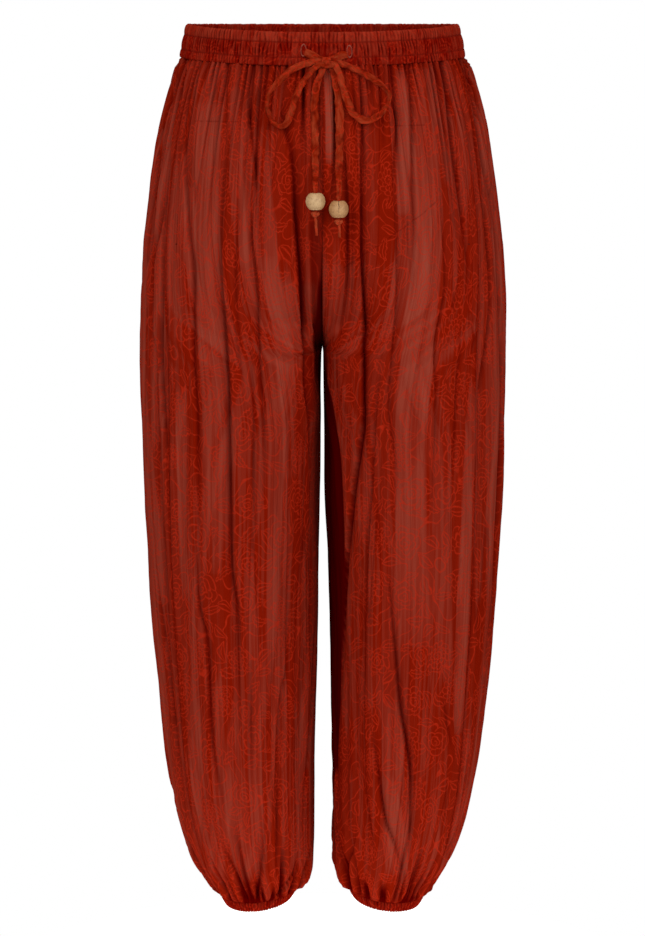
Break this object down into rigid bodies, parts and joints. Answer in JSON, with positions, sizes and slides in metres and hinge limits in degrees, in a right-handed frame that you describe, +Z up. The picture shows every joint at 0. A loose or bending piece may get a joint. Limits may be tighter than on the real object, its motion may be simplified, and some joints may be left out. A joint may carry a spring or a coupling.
{
  "type": "harem pants",
  "caption": "Loose harem pants of thin printed cloth, hollow as worn, with a shirred waist casing, gathered ankle cuffs and a bow-tied drawstring that ends in wooden beads.",
  "frame": {"origin": "middle of the waist, about half way up the waist casing, where the wearer holds the garment", "axes": "+Z up along the body, -Y towards the front where the bow is, +X towards the wearer's left"},
  "size_m": [0.3958, 0.2762, 0.9654],
  "materials": {
    "cloth": "thin crinkled viscose crepe, rust red with a tonal red line print of flowers and leaves",
    "casing": "the same cloth, shirred over elastic",
    "cord": "folded flat strip of the same cloth",
    "bead_wood": "pale turned wood, unvarnished"
  },
  "bodies": {
    "root": {"waist_casing": "casing", "front_left": "cloth", "front_right": "cloth", "back_left": "cloth", "back_right": "cloth", "pocket_left": "cloth", "pocket_right": "cloth", "cuff_left": "casing", "cuff_right": "casing", "drawstring_lead_left": "cord", "drawstring_lead_right": "cord", "bow_knot": "cord", "bow_loop_left": "cord", "bow_loop_right": "cord", "drawstring_tail_left": "cord", "drawstring_tail_right": "cord", "bead_left": "bead_wood", "bead_right": "bead_wood", "end_knot_left": "cord", "end_knot_right": "cord", "drawstring_end_left": "cord", "drawstring_end_right": "cord"}
  },
  "joints": []
}
